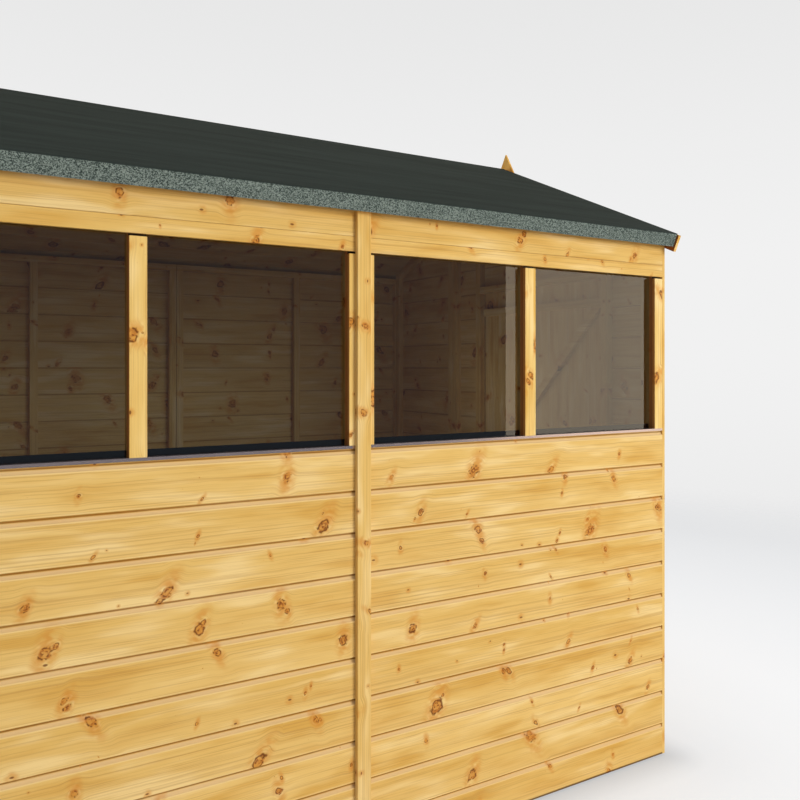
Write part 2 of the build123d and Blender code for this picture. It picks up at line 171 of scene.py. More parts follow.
# Pine figure: grain that flows round whorls of knots, cut afresh for each board. Lengths are in metres,
# starts and spans are shares of a cell or a board, and rings and smudges are measured in knot radii
pineFigure = {
    "stagger": 37.0,         # how far apart two boards may start in the figure
    "boardSeed": 1.37,
    "whorls": {"spacing": 0.29, "start": 0.2, "span": 0.6},     # rows of knots along the board
    "pins": {"spacing": 0.16, "start": 0.1, "span": 0.8},
    "seeds": {"first": 0.0, "second": 31.7, "pin": 57.3},
    "acrossStart": 0.08,
    "acrossSpan": 0.8,
    "smallKnot": 0.0038,     # radii
    "largeKnot": 0.0205,
    "secondKnot": 0.0095,
    "pinKnot": 0.0030,
    "leastKnot": 0.0002,
    "rareness": 1.9,         # a higher power leaves fewer large knots
    "secondSpread": 0.05,    # how far along the second knot strays from the first
    "lean": 1.4,             # of a knot near a board's edge
    "smudge": 0.5,           # a smudge is this much narrower along the board than across
    "bend": 2.4,             # how strongly the grain bends round a knot, and how much less inside it
    "bendCore": 0.45,
    "bendEnd": 0.3,
    "wander": 0.012,         # how far the grain drifts across a board
    "ripple": 0.0018,
    "wholeShare": 0.26,      # how much more often some knots keep their whole outline
    "knots": {               # squeezed along the board, ragged, and reach of the bent grain
        "first": (1.1, 1.5, 0.045),
        "second": (1.1, 1.6, 0.025),
        "pin": (0.5, 0.8, 0.008),
    },
    "patterns": {            # scale along, across and from board to board, then detail and roughness
        "wobble": (60.0, 60.0, 1.0, 1.0, 0.5),
        "drift": (1.1, 7.0, 7.1, 1.0, 0.5),
        "ripple": (9.0, 28.0, 1.0, 1.0, 0.5),
        "crumb": (105.0, 115.0, 1.0, 1.0, 0.5),
        "smear": (40.0, 60.0, 2.0, 1.0, 0.5),
        "streak": (5.0, 420.0, 3.7, 3.0, 0.6),
        "line": (0.9, 190.0, 1.9, 2.0, 0.45),
        "patch": (3.6, 20.0, 5.3, 2.0, 0.5),
    },
    "rings": {"outline": (0.95, 0.36), "inner": (0.35, 0.36), "rim": (1.45, 0.4)},    # middle, half width
    "fades": {               # nothing at the first, all at the second, and how much that is
        "second": (0.25, 1.0),
        "pin": (0.5, 1.0),
        "whole": (0.55, 0.68),
        "innerCrumb": (0.50, 0.42, 0.8),
        "pinRing": (1.25, 0.55, 0.9),
        "line": (0.50, 0.70),
        "body": (1.2, 0.7),
        "halo": (2.9, 0.6),
        "pinHalo": (3.6, 0.8, 0.8),
        "smear": (0.25, 0.6),
        "rings": (0.40, 0.62),
    },
}


def makePineFigure(spec):
    tree = bpy.data.node_groups.new("pineFigure", "ShaderNodeTree")
    for name in ("Along", "Across", "Board", "Cover", "Knots"):
        tree.interface.new_socket(name, in_out="INPUT", socket_type="NodeSocketFloat")
    for name in ("Streak", "Line", "Patch", "Tone", "Body", "Edge", "Halo", "Rings", "Rim"):
        tree.interface.new_socket(name, in_out="OUTPUT", socket_type="NodeSocketFloat")
    given = put(tree, "NodeGroupInput").outputs
    result = put(tree, "NodeGroupOutput").inputs
    across, board = given["Across"], given["Board"]

    tone = put(tree, "ShaderNodeTexWhiteNoise", {"W": board}, noise_dimensions="1D").outputs["Value"]
    along = calc(tree, "MULTIPLY_ADD", tone, spec["stagger"], given["Along"])

    def pattern(name, acrossAt=across):
        alongScale, acrossScale, boardScale, detail, roughness = spec["patterns"][name]
        place = joinXyz(tree, calc(tree, "MULTIPLY", along, alongScale),
                        calc(tree, "MULTIPLY", acrossAt, acrossScale),
                        calc(tree, "MULTIPLY", board, boardScale))
        return noise(tree, place, detail=detail, roughness=roughness)

    def faded(name, value):
        return fade(tree, value, *spec["fades"][name])

    def cellsAlong(row):
        # number of the cell, and metres into it
        cells = calc(tree, "DIVIDE", along, row["spacing"])
        cell = calc(tree, "FLOOR", cells)
        return cell, calc(tree, "MULTIPLY", calc(tree, "SUBTRACT", cells, cell), row["spacing"])

    def placeInCell(row, chance):
        return calc(tree, "MULTIPLY_ADD", chance, row["spacing"] * row["span"], row["spacing"] * row["start"])

    def chances(cell, seed):
        # three random shares for each cell of each board
        place = joinXyz(tree, calc(tree, "ADD", cell, seed), calc(tree, "MULTIPLY", board, spec["boardSeed"]),
                        seed)
        random = put(tree, "ShaderNodeTexWhiteNoise", {"Vector": place}, noise_dimensions="3D")
        return put(tree, "ShaderNodeSeparateColor", {"Color": random.outputs["Color"]}).outputs

    def length(x, y):
        return calc(tree, "SQRT", calc(tree, "MULTIPLY_ADD", x, x, calc(tree, "MULTIPLY", y, y)))

    wobble = calc(tree, "SUBTRACT", pattern("wobble"), 0.5)

    def knot(kind, inCell, alongAt, acrossShare, radius, lean=0.0):
        # distance from its middle and from its smudge's, in radii, and how far it pushes the grain aside
        squeeze, ragged, reach = spec["knots"][kind]
        dv = calc(tree, "SUBTRACT", across, calc(tree, "MULTIPLY", given["Cover"], acrossShare))
        du = calc(tree, "MULTIPLY", calc(tree, "SUBTRACT", inCell, alongAt), squeeze)
        du = calc(tree, "MULTIPLY_ADD", dv, lean, du)
        radius = calc(tree, "MAXIMUM", calc(tree, "MULTIPLY", radius, given["Knots"]), spec["leastKnot"])
        share = calc(tree, "MULTIPLY_ADD", wobble, ragged, calc(tree, "DIVIDE", length(du, dv), radius))
        smudge = calc(tree, "DIVIDE", length(du, calc(tree, "MULTIPLY", dv, spec["smudge"])), radius)
        square = calc(tree, "MULTIPLY", radius, calc(tree, "MULTIPLY", radius, spec["bend"]))
        away = calc(tree, "MULTIPLY_ADD", du, du, calc(tree, "MULTIPLY", dv, dv))
        push = calc(tree, "DIVIDE", square, calc(tree, "MULTIPLY_ADD", square, spec["bendCore"], away))
        push = calc(tree, "MULTIPLY", calc(tree, "MINIMUM", push, 1.0),
                    fade(tree, calc(tree, "ABSOLUTE", du), reach, reach * spec["bendEnd"]))
        return share, smudge, calc(tree, "MULTIPLY", dv, push)

    whorls, pins, seeds = spec["whorls"], spec["pins"], spec["seeds"]
    cell, inCell = cellsAlong(whorls)
    first, second = chances(cell, seeds["first"]), chances(cell, seeds["second"])
    alongA = placeInCell(whorls, first[0])
    acrossA = calc(tree, "MULTIPLY_ADD", first[1], spec["acrossSpan"], spec["acrossStart"])
    radiusA = calc(tree, "MULTIPLY_ADD", calc(tree, "POWER", first[2], spec["rareness"]),
                   spec["largeKnot"] - spec["smallKnot"], spec["smallKnot"])
    lean = calc(tree, "MULTIPLY", calc(tree, "SUBTRACT", first[1], 0.5), spec["lean"])
    shareA, smudgeA, pushA = knot("first", inCell, alongA, acrossA, radiusA, lean)
    alongB = calc(tree, "MULTIPLY_ADD", calc(tree, "SUBTRACT", second[0], 0.5), spec["secondSpread"], alongA)
    radiusB = calc(tree, "MULTIPLY", faded("second", second[2]), spec["secondKnot"])
    shareB, smudgeB, pushB = knot("second", inCell, alongB, second[1], radiusB, lean)
    pinCell, inPin = cellsAlong(pins)
    third = chances(pinCell, seeds["pin"])
    radiusC = calc(tree, "MULTIPLY", faded("pin", third[2]), spec["pinKnot"])
    shareC, smudgeC, pushC = knot("pin", inPin, placeInCell(pins, third[0]), third[1], radiusC)
    share = calc(tree, "MINIMUM", shareA, shareB)
    smudge = calc(tree, "MINIMUM", smudgeA, smudgeB)

    field = calc(tree, "SUBTRACT", across, calc(tree, "ADD", calc(tree, "ADD", pushA, pushB), pushC))
    field = calc(tree, "MULTIPLY_ADD", pattern("drift"), spec["wander"], field)
    field = calc(tree, "MULTIPLY_ADD", pattern("ripple"), spec["ripple"], field)

    def ring(name):
        middle, half = spec["rings"][name]
        return fade(tree, calc(tree, "ABSOLUTE", calc(tree, "SUBTRACT", share, middle)), half, 0.0)

    crumb = pattern("crumb")
    whole = calc(tree, "MULTIPLY_ADD", first[0], spec["wholeShare"], crumb)
    outline = calc(tree, "MULTIPLY", ring("outline"), faded("whole", whole))
    inner = calc(tree, "MULTIPLY", ring("inner"), faded("innerCrumb", crumb))
    halo = calc(tree, "MAXIMUM", faded("halo", smudge), faded("pinHalo", smudgeC))
    outputs = {
        "Streak": pattern("streak", field),
        "Line": faded("line", pattern("line", field)),
        "Patch": pattern("patch", field),
        "Tone": tone,
        "Body": faded("body", share),
        "Edge": calc(tree, "MAXIMUM", calc(tree, "MAXIMUM", outline, inner), faded("pinRing", shareC)),
        "Halo": calc(tree, "MULTIPLY", halo, faded("smear", pattern("smear"))),
        "Rings": faded("rings", crumb),
        "Rim": ring("rim"),
    }
    for name, socket in outputs.items():
        tree.links.new(socket, result[name])
    return tree


pineTree = makePineFigure(pineFigure)

pineColours = {
    "face": srgb(233, 193, 114),
    "faceDeep": srgb(224, 181, 98),
    "golden": srgb(214, 163, 74),
    "pale": srgb(243, 211, 145),
    "line": srgb(172, 122, 60),
    "knot": srgb(176, 96, 26),
    "knotLight": srgb(208, 142, 56),
    "knotRing": srgb(96, 42, 6),
    "halo": srgb(208, 134, 42),
    "endGrain": srgb(206, 158, 92),
    "scoop": srgb(231, 195, 140),
    # painted shadow in each joint, under the lip
    "joint": srgb(128, 74, 2),
    # painted shadow along the lowest edge, by the ground
    "foot": srgb(64, 36, 20),
}

pineLook = {
    "fades": {               # as in the figure; the last is how much of the wood it hides
        "golden": (0.50, 0.72, 0.85),
        "pale": (0.50, 0.28, 0.85),
        "streak": (0.48, 0.80, 0.50),
        "endGrain": (0.75, 0.9, 0.7),
        "sideShade": (0.7, 0.95, 0.9),
    },
    "shares": {"Line": 0.30, "Rim": 0.3, "Halo": 0.72, "Body": 0.70, "Edge": 0.90},
    "rough": 0.47,
    "streakRough": 0.16,
    "specular": 0.25,
    "sunkKnot": 0.6,
    "bump": 0.25,
    "bumpHeight": 0.0006,
}

# Shiplap: heights from the joint, in metres. A band is its middle, its half width and how much it hides
shiplap = {
    "cover": 0.1137,
    "firstJoint": 0.1135,
    "gap": 0.0015,
    "outside": (0.0075, 0.0060),       # depth from the wall's face
    "innerDrop": 0.0045,               # inside, the joints lie a little lower
    "scoopFoot": (-0.0150, -0.0138),
    "scoopTop": (-0.0045, -0.0085, 0.85),
    # crest and lip are painted highlights: the scoop's lower edge and the lip's edge, which catch the light
    "crest": (-0.0157, 0.0026, 0.75),
    "lip": (0.0036, 0.0026, 0.5),
    "line": (-0.0027, 0.0042, 1.0),    # painted shadow under the lip
    "lineCore": 0.0004,
    "lineOutside": 0.82,
    "lineInside": 0.5,
    "lowerTone": (0.25, 0.6, 0.22),    # many boards are paler towards their lower edge
    "lowerEdge": (0.75, 0.0),
    "foot": (0.0125, 0.0085, 0.85),    # painted shadow along the boards' lower edge, heights from the ground
}

# The shed's timber: which way the grain runs and how the boards lie side by side across it
slope = math.radians(23.8)
finialRise = 0.065
ridgeHeight = cadBox[1][2] - finialRise
roofTop = -ridgeHeight * math.sin(slope)    # where the roof's boards start, measured down the slope
alongX, alongY, alongZ = (1, 0, 0), (0, 1, 0), (0, 0, 1)
downSlope = (0, math.cos(slope), -math.sin(slope))
acrossSlope = (0, math.sin(slope), math.cos(slope))
acrossPost, acrossRail, acrossGableRail = (1, 1, 0), (0, 1, 1), (1, 0, 1)
sideFace, gableFace = 0.9, 1.212    # the cladding's outer faces, from the middle
paneFront = 0.875                   # timber past this stands in front of the panes
# painted shade for the sides of studs and stiles in the window reveals, in front of the panes
studSideShade, stileSideShade = srgb(142, 76, 28), srgb(178, 110, 48)
# painted shadow: faces that other timber covers, which show only through an open joint, are painted dark
shadeUnderCladding = {"out": (0, -1, 0), "face": 0.8875, "paint": srgb(34, 22, 14)}
shadeUnderRoof = {"out": (-1, 0, 0), "face": -1.213, "paint": srgb(150, 86, 34)}    # painted shade on the bargeboards' inner faces


def cladding(along, out, face, seed, nodes):
    return {"along": along, "across": alongZ, "cover": shiplap["cover"], "start": shiplap["firstJoint"],
            "seed": seed, "lap": {"out": out, "face": face}, "nodes": nodes}


timber = {
    "sideBoards": cladding(alongX, alongY, sideFace, 3.0, (
        "window_wall_cladding_left", "window_wall_cladding_right")),
    "backBoards": cladding(alongX, alongY, sideFace, 43.0, (
        "back_wall_cladding_left", "back_wall_cladding_right")),
    "gableBoards": cladding(alongY, alongX, gableFace, 83.0, (
        "door_gable_cladding_latch_side", "door_gable_cladding_hinge_side", "door_gable_cladding_over_door",
        "door_gable_cladding_narrow", "rear_gable_cladding_wide", "rear_gable_cladding_narrow")),
    "doorBoards": {
        "along": alongZ, "across": alongY, "cover": 0.7875 / 7, "start": -0.6495, "seed": 123.0,
        "nodes": ("door_boards",)},
    "roofBoards": {
        "along": alongX, "across": downSlope, "cover": 0.10453, "start": roofTop, "seed": 163.0,
        "mirrored": True, "knots": 1.2, "shade": (0.86, 0.86, 0.86),
        "nodes": ("roof_boards_window_side", "roof_boards_back_side")},
    "floorBoards": {
        "along": alongY, "across": alongX, "cover": 0.1142, "start": -1.1995, "seed": 203.0,
        "shade": (0.8, 0.8, 0.8), "nodes": ("floor_boards", "floor_joists")},
    "frieze": {
        "along": alongX, "across": acrossRail, "cover": 0.1377, "start": 0.8033, "seed": 243.0, "knots": 0.9,
        "shade": (0.98, 1.0, 1.04), "nodes": ("window_wall_friezes",)},
    "headTrim": {
        "along": alongX, "across": acrossRail, "cover": 0.0663, "start": 0.7625, "seed": 263.0, "knots": 0.6,
        "nodes": ("window_head_trims",)},
    "posts": {
        "along": alongZ, "across": acrossPost, "cover": 0.09, "start": 0.03, "seed": 283.0, "knots": 0.7,
        "nodes": ("back_wall_studs", "door_gable_posts", "rear_gable_posts")},
    "windowPosts": {
        "along": alongZ, "across": acrossPost, "cover": 0.09, "start": 0.03, "seed": 283.0, "knots": 0.7,
        "sides": studSideShade, "shadedFaces": shadeUnderCladding, "nodes": ("window_wall_studs",)},
    "windowRails": {
        "along": alongX, "across": acrossRail, "cover": 0.07, "start": 0.01, "seed": 343.0, "knots": 0.7,
        "shadedFaces": shadeUnderCladding, "nodes": ("window_wall_rails",)},
    "strips": {
        "along": alongZ, "across": acrossPost, "cover": 0.09, "start": 0.02, "seed": 303.0, "knots": 0.7,
        "nodes": ("side_wall_cover_strips", "gable_cover_strips")},
    "stiles": {
        "along": alongZ, "across": acrossPost, "cover": 0.06, "start": 0.012, "seed": 323.0, "knots": 1.3,
        "shade": (1.08, 1.12, 1.18), "sides": stileSideShade, "nodes": ("window_stiles",)},
    "rails": {
        "along": alongX, "across": acrossRail, "cover": 0.07, "start": 0.01, "seed": 343.0, "knots": 0.7,
        "nodes": ("back_wall_rails", "roof_battens")},
    "gableRails": {
        "along": alongY, "across": acrossGableRail, "cover": 0.07, "start": 0.01, "seed": 363.0, "knots": 0.7,
        "nodes": ("door_gable_rails", "rear_gable_rails")},
    "slopeBoards": {
        "along": downSlope, "across": acrossSlope, "cover": 0.2, "start": 0.02, "seed": 383.0,
        "mirrored": True, "knots": 0.8, "shade": (1.08, 1.06, 1.0), "shadedFaces": shadeUnderRoof,
        "nodes": ("bargeboards_door_gable", "bargeboards_rear_gable")},
    "ledges": {
        "along": alongY, "across": alongZ, "cover": 0.24, "start": 0.05, "seed": 403.0,
        "nodes": ("door_ledges", "door_braces")},
    "finials": {
        "along": alongZ, "across": acrossPost, "cover": 0.5, "start": -0.25, "seed": 423.0, "knots": 0.5,
        "shade": (1.1, 0.9, 0.55), "nodes": ("finials",)},
}


def jointLayers(tree, rows, outside, paint):
    # planed scoop over each joint, painted highlights on its lower edge and on the lip, and painted shadow
    # under the lip
    cover = shiplap["cover"]
    off = calc(tree, "FRACT", calc(tree, "ADD", rows, 0.5 + shiplap["gap"] / cover))
    off = calc(tree, "MULTIPLY", calc(tree, "SUBTRACT", off, 0.5), cover)

    def band(name, core=0.0):
        middle, half, top = shiplap[name]
        return fade(tree, calc(tree, "ABSOLUTE", calc(tree, "SUBTRACT", off, middle)), half, core, top)

    scoop = calc(tree, "MULTIPLY", fade(tree, off, *shiplap["scoopFoot"]),
                 fade(tree, off, *shiplap["scoopTop"]))
    strength = calc(tree, "MULTIPLY_ADD", outside, shiplap["lineOutside"] - shiplap["lineInside"],
                    shiplap["lineInside"])
    return [
        (calc(tree, "MULTIPLY", scoop, outside), paint["scoop"]),
        # the pale crest and lip bands are painted highlights
        (calc(tree, "MULTIPLY", band("crest"), outside), paint["pale"]),
        (calc(tree, "MULTIPLY", band("lip"), outside), paint["pale"]),
        (calc(tree, "MULTIPLY", band("line", shiplap["lineCore"]), strength), paint["joint"]),
    ]


def makePine(name, along, across, cover, start, seed, knots=1.0, shade=(1, 1, 1), mirrored=False, lap=None,
             sides=None, shadedFaces=None):
    material, tree, surface, place = newMaterial(name)
    normal = put(tree, "ShaderNodeTexCoord").outputs["Normal"]
    if mirrored:  # both slopes of the roof read alike
        place = vectorCalc(tree, "ABSOLUTE", place)
    distance = calc(tree, "SUBTRACT", dot(tree, place, across), start)
    if lap:
        depth = calc(tree, "SUBTRACT", lap["face"], calc(tree, "ABSOLUTE", dot(tree, place, lap["out"])))
        outside = fade(tree, depth, *shiplap["outside"])
        distance = calc(tree, "MULTIPLY_ADD", calc(tree, "SUBTRACT", 1.0, outside), shiplap["innerDrop"],
                        distance)
    rows = calc(tree, "DIVIDE", distance, cover)
    row = calc(tree, "FLOOR", rows)
    height = calc(tree, "SUBTRACT", rows, row)
    figure = put(tree, "ShaderNodeGroup", node_tree=pineTree)
    for key, value in (("Along", dot(tree, place, along)), ("Across", calc(tree, "MULTIPLY", height, cover)),
                       ("Board", calc(tree, "ADD", row, seed))):
        tree.links.new(value, figure.inputs[key])
    figure.inputs["Cover"].default_value = cover
    figure.inputs["Knots"].default_value = knots
    drawn = figure.outputs
    paint = {key: tuple(min(c * s, 1.0) for c, s in zip(value, shade)) + (1.0,)
             for key, value in pineColours.items()}

    def faded(name, value):
        return fade(tree, value, *pineLook["fades"][name])

    def share(name):
        return calc(tree, "MULTIPLY", drawn[name], pineLook["shares"][name])

    def turned(way):
        # how squarely the face looks that way
        return calc(tree, "ABSOLUTE", dot(tree, normal, way))

    layers = [
        (drawn["Tone"], paint["faceDeep"]),
        (faded("golden", drawn["Patch"]), paint["golden"]),
        (faded("pale", drawn["Patch"]), paint["pale"]),
    ]
    if lap:
        lower = calc(tree, "MULTIPLY", fade(tree, drawn["Tone"], *shiplap["lowerTone"]),
                     fade(tree, height, *shiplap["lowerEdge"]))
        layers.append((lower, paint["pale"]))
    layers += [(faded("streak", drawn["Streak"]), paint["line"]), (share("Line"), paint["line"])]
    if lap:
        layers += jointLayers(tree, rows, outside, paint)
    layers += [
        (share("Rim"), paint["pale"]),
        (share("Halo"), paint["halo"]),
        (share("Body"), blendColour(tree, drawn["Rings"], paint["knot"], paint["knotLight"])),
        (share("Edge"), paint["knotRing"]),
    ]
    if not mirrored:  # sawn ends
        layers.append((faded("endGrain", turned(along)), paint["endGrain"]))
    # painted shadow along the boards' lowest edge, by the ground
    if lap:
        layers.append((fade(tree, dot(tree, place, alongZ), *shiplap["foot"]), paint["foot"]))
    if sides:  # painted shade on the sides in front of the panes, deeper than the face
        inFront = calc(tree, "GREATER_THAN", dot(tree, place, (0, -1, 0)), paneFront)
        layers.append((calc(tree, "MULTIPLY", faded("sideShade", turned(alongX)), inFront), sides))
    # faces past a given plane carry painted shade: the gaps behind the cladding and the bargeboards' inner
    # faces
    if shadedFaces:
        inShade = calc(tree, "GREATER_THAN", dot(tree, place, shadedFaces["out"]), shadedFaces["face"])
        layers.append((inShade, shadedFaces["paint"]))
    colour = paint["face"]
    for amount, tint in layers:
        colour = blendColour(tree, amount, colour, tint)

    setSurface(tree, surface, colour, pineLook["rough"], pineLook["specular"])
    tree.links.new(calc(tree, "MULTIPLY_ADD", drawn["Streak"], pineLook["streakRough"], pineLook["rough"]),
                   surface.inputs["Roughness"])
    sunk = calc(tree, "MULTIPLY", drawn["Edge"], pineLook["sunkKnot"])
    addBump(tree, surface, calc(tree, "SUBTRACT", drawn["Streak"], sunk), pineLook["bump"],
            pineLook["bumpHeight"])
    return material


for finish, lay in timber.items():
    nodes = lay.pop("nodes")
    dress(makePine("pine" + finish[0].upper() + finish[1:], **lay), *nodes)


feltLook = {
    "top": srgb(52, 60, 57),
    "topShade": srgb(38, 46, 43),
    "bandDark": srgb(50, 60, 56),
    "bandLight": srgb(139, 150, 141),
    "grainSize": 0.0019,
    "grain": (0.1, 0.95),
    "cloudScale": (1.6, 14.0, 14.0),    # stretched along the roll
    "cloud": (0.3, 0.7, 0.7),
    "foldUnder": (0.0015, 0.004),       # the folded edge starts this far under the roof's top plane
    "rough": 0.95,
    "specular": 0.05,
    "bump": 0.3,
    "bumpHeight": 0.0006,
}


def makeFelt(spec):
    material, tree, surface, place = newMaterial("greenMineralFelt")
    speckle = put(tree, "ShaderNodeTexVoronoi", {"Vector": place, "Scale": 1 / spec["grainSize"]})
    grain = put(tree, "ShaderNodeSeparateColor", {"Color": speckle.outputs["Color"]}).outputs[0]
    cloud = noise(tree, vectorCalc(tree, "MULTIPLY", place, spec["cloudScale"]), detail=4.0, roughness=0.65)
    level = dot(tree, vectorCalc(tree, "ABSOLUTE", place), acrossSlope)
    plane = ridgeHeight * math.cos(slope)
    fold = fade(tree, level, *(plane - under for under in spec["foldUnder"]))
    top = blendColour(tree, fade(tree, cloud, *spec["cloud"]), spec["top"], spec["topShade"])
    band = blendColour(tree, fade(tree, grain, *spec["grain"]), spec["bandDark"], spec["bandLight"])
    setSurface(tree, surface, blendColour(tree, fold, top, band), spec["rough"], spec["specular"])
    addBump(tree, surface, grain, spec["bump"], spec["bumpHeight"])
    return material


glassLook = {
    "tint": (0.685, 0.72, 0.765, 1),
    "shine": (1, 1, 1, 1),
    "ior": 1.45,
    "bothFaces": 1.85,    # the two faces' shine in one
}


def makeGlass(spec):
    material, tree, surface, place = newMaterial("windowGlass")
    tree.nodes.remove(surface)
    clear = put(tree, "ShaderNodeBsdfTransparent", {"Color": spec["tint"]})
    shine = put(tree, "ShaderNodeBsdfGlossy", {"Roughness": 0.0, "Color": spec["shine"]})
    fresnel = put(tree, "ShaderNodeFresnel", {"IOR": spec["ior"]}).outputs[0]
    outer = calc(tree, "SUBTRACT", 1.0, put(tree, "ShaderNodeNewGeometry").outputs["Backfacing"])
    amount = calc(tree, "MULTIPLY", calc(tree, "MULTIPLY", fresnel, spec["bothFaces"]), outer)
    showShader(tree, put(tree, "ShaderNodeMixShader", {0: amount, 1: clear.outputs[0], 2: shine.outputs[0]}))
    return material


plainLook = {"darker": 0.55, "blotches": 60.0, "pits": 480.0, "pitBump": 0.15, "pitDepth": 0.0004}


def makePlain(name, colour, rough, specular=0.5, metallic=0.0, mottle=0.25):
    material, tree, surface, place = newMaterial(name)
    tint = fade(tree, noise(tree, place, scale=plainLook["blotches"], detail=4.0), 0.3, 0.7, mottle)
    darker = tuple(c * plainLook["darker"] for c in colour[:3]) + (1.0,)
    setSurface(tree, surface, blendColour(tree, tint, colour, darker), rough, specular, metallic)
    addBump(tree, surface, noise(tree, place, scale=plainLook["pits"]), plainLook["pitBump"],
            plainLook["pitDepth"])
    return material


sillPaint = makePlain("silverLilacSill", srgb(190, 172, 170), 0.20, metallic=0.8, mottle=0.1)
darkBead = makePlain("blackGlazingTape", srgb(15, 15, 17), 0.5, specular=0.2)
iron = makePlain("blackIron", srgb(28, 28, 29), 0.42, metallic=0.6)
# near-black cross in each screw head: painted shade in the recess
recessShade = makePlain("screwRecessShade", srgb(8, 8, 8), 0.8, specular=0.1)
dress(makeFelt(feltLook), "roof_felt_window_side", "roof_felt_back_side")
dress(makeGlass(glassLook), "window_panes_left", "window_panes_right")
dress(sillPaint, "window_sills")
dress(darkBead, "window_glazing_beads")
dress(iron, "door_hinge_straps", "door_hinge_plates", "door_pad_bolt", "door_bolt_keeper")
print("timber, felt, glass and iron dressed in", len(bpy.data.materials), "finishes")


# Edges: the planed timber has its sharp corners eased
easedEdges = {
    "width": 0.0012,
    "segments": 2,
    "sharpFrom": 40,      # degrees
    "joinWithin": 0.00002,
    "nodes": ("side_wall_cover_strips", "window_stiles", "window_wall_friezes", "window_head_trims",
              "bargeboards_door_gable", "bargeboards_rear_gable", "door_ledges", "door_braces", "finials"),
}


def easeEdges(spec):
    for name in spec["nodes"]:
        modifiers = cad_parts[name].modifiers
        modifiers.new("joinCorners", "WELD").merge_threshold = spec["joinWithin"]
        bevel = modifiers.new("easeEdges", "BEVEL")
        bevel.width = spec["width"]
        bevel.segments = spec["segments"]
        bevel.limit_method = "ANGLE"
        bevel.angle_limit = math.radians(spec["sharpFrom"])
        bevel.harden_normals = False


easeEdges(easedEdges)
print("edges eased")


def linkObject(name, mesh):
    thing = bpy.data.objects.new(name, mesh)
    bpy.context.scene.collection.objects.link(thing)
    return thing


# Screws in the door's ironwork: flat domed heads with a cross recess drawn as a near-black cross of painted
# shade, all facing out of the gable
screws = {
    "headRadius": 0.0042,
    "headTop": 0.62,         # radius of the head's flat top, as a share of its own
    "headRise": 0.0016,
    "recess": (0.0048, 0.0011),    # length and width of each arm
    "recessDepth": 0.4,      # shares of the head's rise
    "recessOut": 0.36,
    "turnStep": 37.0,        # degrees for each corner made so far, so that no two screws stand alike
    "strapFront": 1.2205,    # how far out the iron's faces lie, in metres
    "plateFront": 1.2155,
    "hingeHeights": (0.185, 1.606),
    "strapRow": (0.112, 0.062, -0.008, -0.078, -0.146),    # along the strap, from its root
    "plateRow": (-0.040, -0.028, 0.028, 0.040),            # up the plate, from its middle
    "plateAcross": 0.166,
    "boltCorners": ((-0.6325, 0.947), (-0.6325, 0.973), (-0.5325, 0.947), (-0.5325, 0.973)),
}


def makeScrews(name, body, places, spec):
    shape = bmesh.new()
    rise = spec["headRise"]
    for x, y, z in places:
        turn = Matrix.Translation((x, y, z)) @ Matrix.Rotation(math.radians(90), 4, "Y")
        bmesh.ops.create_cone(shape, cap_ends=True, segments=20, radius1=spec["headRadius"],
                              radius2=spec["headRadius"] * spec["headTop"], depth=rise, matrix=turn)
        twist = Matrix.Rotation(math.radians(spec["turnStep"] * len(shape.verts) % 90), 4, "X")
        for arm in (spec["recess"], spec["recess"][::-1]):
            scale = Matrix.Diagonal((rise * spec["recessDepth"], *arm, 1))
            place = Matrix.Translation((x + rise * spec["recessOut"], y, z)) @ twist @ scale
            corners = bmesh.ops.create_cube(shape, size=1.0, matrix=place)["verts"]
            for face in {face for vert in corners for face in vert.link_faces}:
                face.material_index = 1
    mesh = bpy.data.meshes.new(name)
    shape.to_mesh(mesh)
    shape.free()
    mesh.materials.append(iron)
    mesh.materials.append(recessShade)
    thing = linkObject(name, mesh)
    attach(thing, body)


makeScrews("strapScrews", "door", [(screws["strapFront"], y, z) for z in screws["hingeHeights"]
                                   for y in screws["strapRow"]], screws)
makeScrews("boltScrews", "door", [(screws["strapFront"], y, z) for y, z in screws["boltCorners"]], screws)
makeScrews("plateScrews", "shed", [(screws["plateFront"], screws["plateAcross"], z + up)
                                   for z in screws["hingeHeights"] for up in screws["plateRow"]], screws)
print("screws driven")


# Studio: pale floor that fades into a pale backdrop, a broad lamp in front, two small ones indoors and one
# behind for the back wall and the rear gable
studio = {
    "floorRadius": 8.0,
    "floorCorners": 96,
    "floorGlow": ((2.3, 0.66), (2.9, 0.638), (3.65, 0.606), (4.9, 0.558)),  # metres from the middle, strength
    "floorShade": ((0.0, 0.66), (0.03, 0.71), (0.10, 0.85), (0.15, 0.91), (0.30, 0.945), (0.50, 0.975),
                   (0.90, 1.0)),    # metres from the walls, share of the light left
    "halfShed": (1.2, 0.9, 0),
    "floorSeen": (0.386, 0.40, 0.422, 1),    # a little blue against the timber's warm glow
    "floorPaint": (0.75, 0.75, 0.75, 1),
    "floorFade": (4.6, 7.5),
    "backdrop": ((-0.21, 232), (-0.16, 236), (-0.11, 238), (-0.05, 240), (0.01, 241), (0.13, 241),
                 (0.25, 238), (0.35, 234), (0.40, 232), (0.60, 226)),   # height of the ray, grey from 0 to 255
    "ambientLeft": 0.39,
    "ambientRight": 0.48,
    "ambientTop": 0.55,
    "ambientRise": (0.2, 1.0),
    "paleFrom": 38.8,        # degrees from -Y towards +X: the bright side of the studio in the panes
    "mirrorDark": (0.14, 0.165, 0.195, 1),
    "mirrorPale": (1.70, 1.50, 1.20, 1),
    "keyLamp": {"place": (3.6, -8.5, 2.7), "size": 4.0, "power": 460.0, "aim": (0, -0.9, 1.1)},
    "roomLamps": (((0.84, -0.05, 1.25), 1.7), ((-0.6, -0.1, 1.2), 0.95)),    # place, power
    "roomLampSize": 0.25,
    "backLamp": {"place": (-4.5, 6.5, 3.0), "size": 3.0, "power": 30.0, "aim": (-0.6, 0.9, 1.0),
                 "spread": 50},    # degrees
}


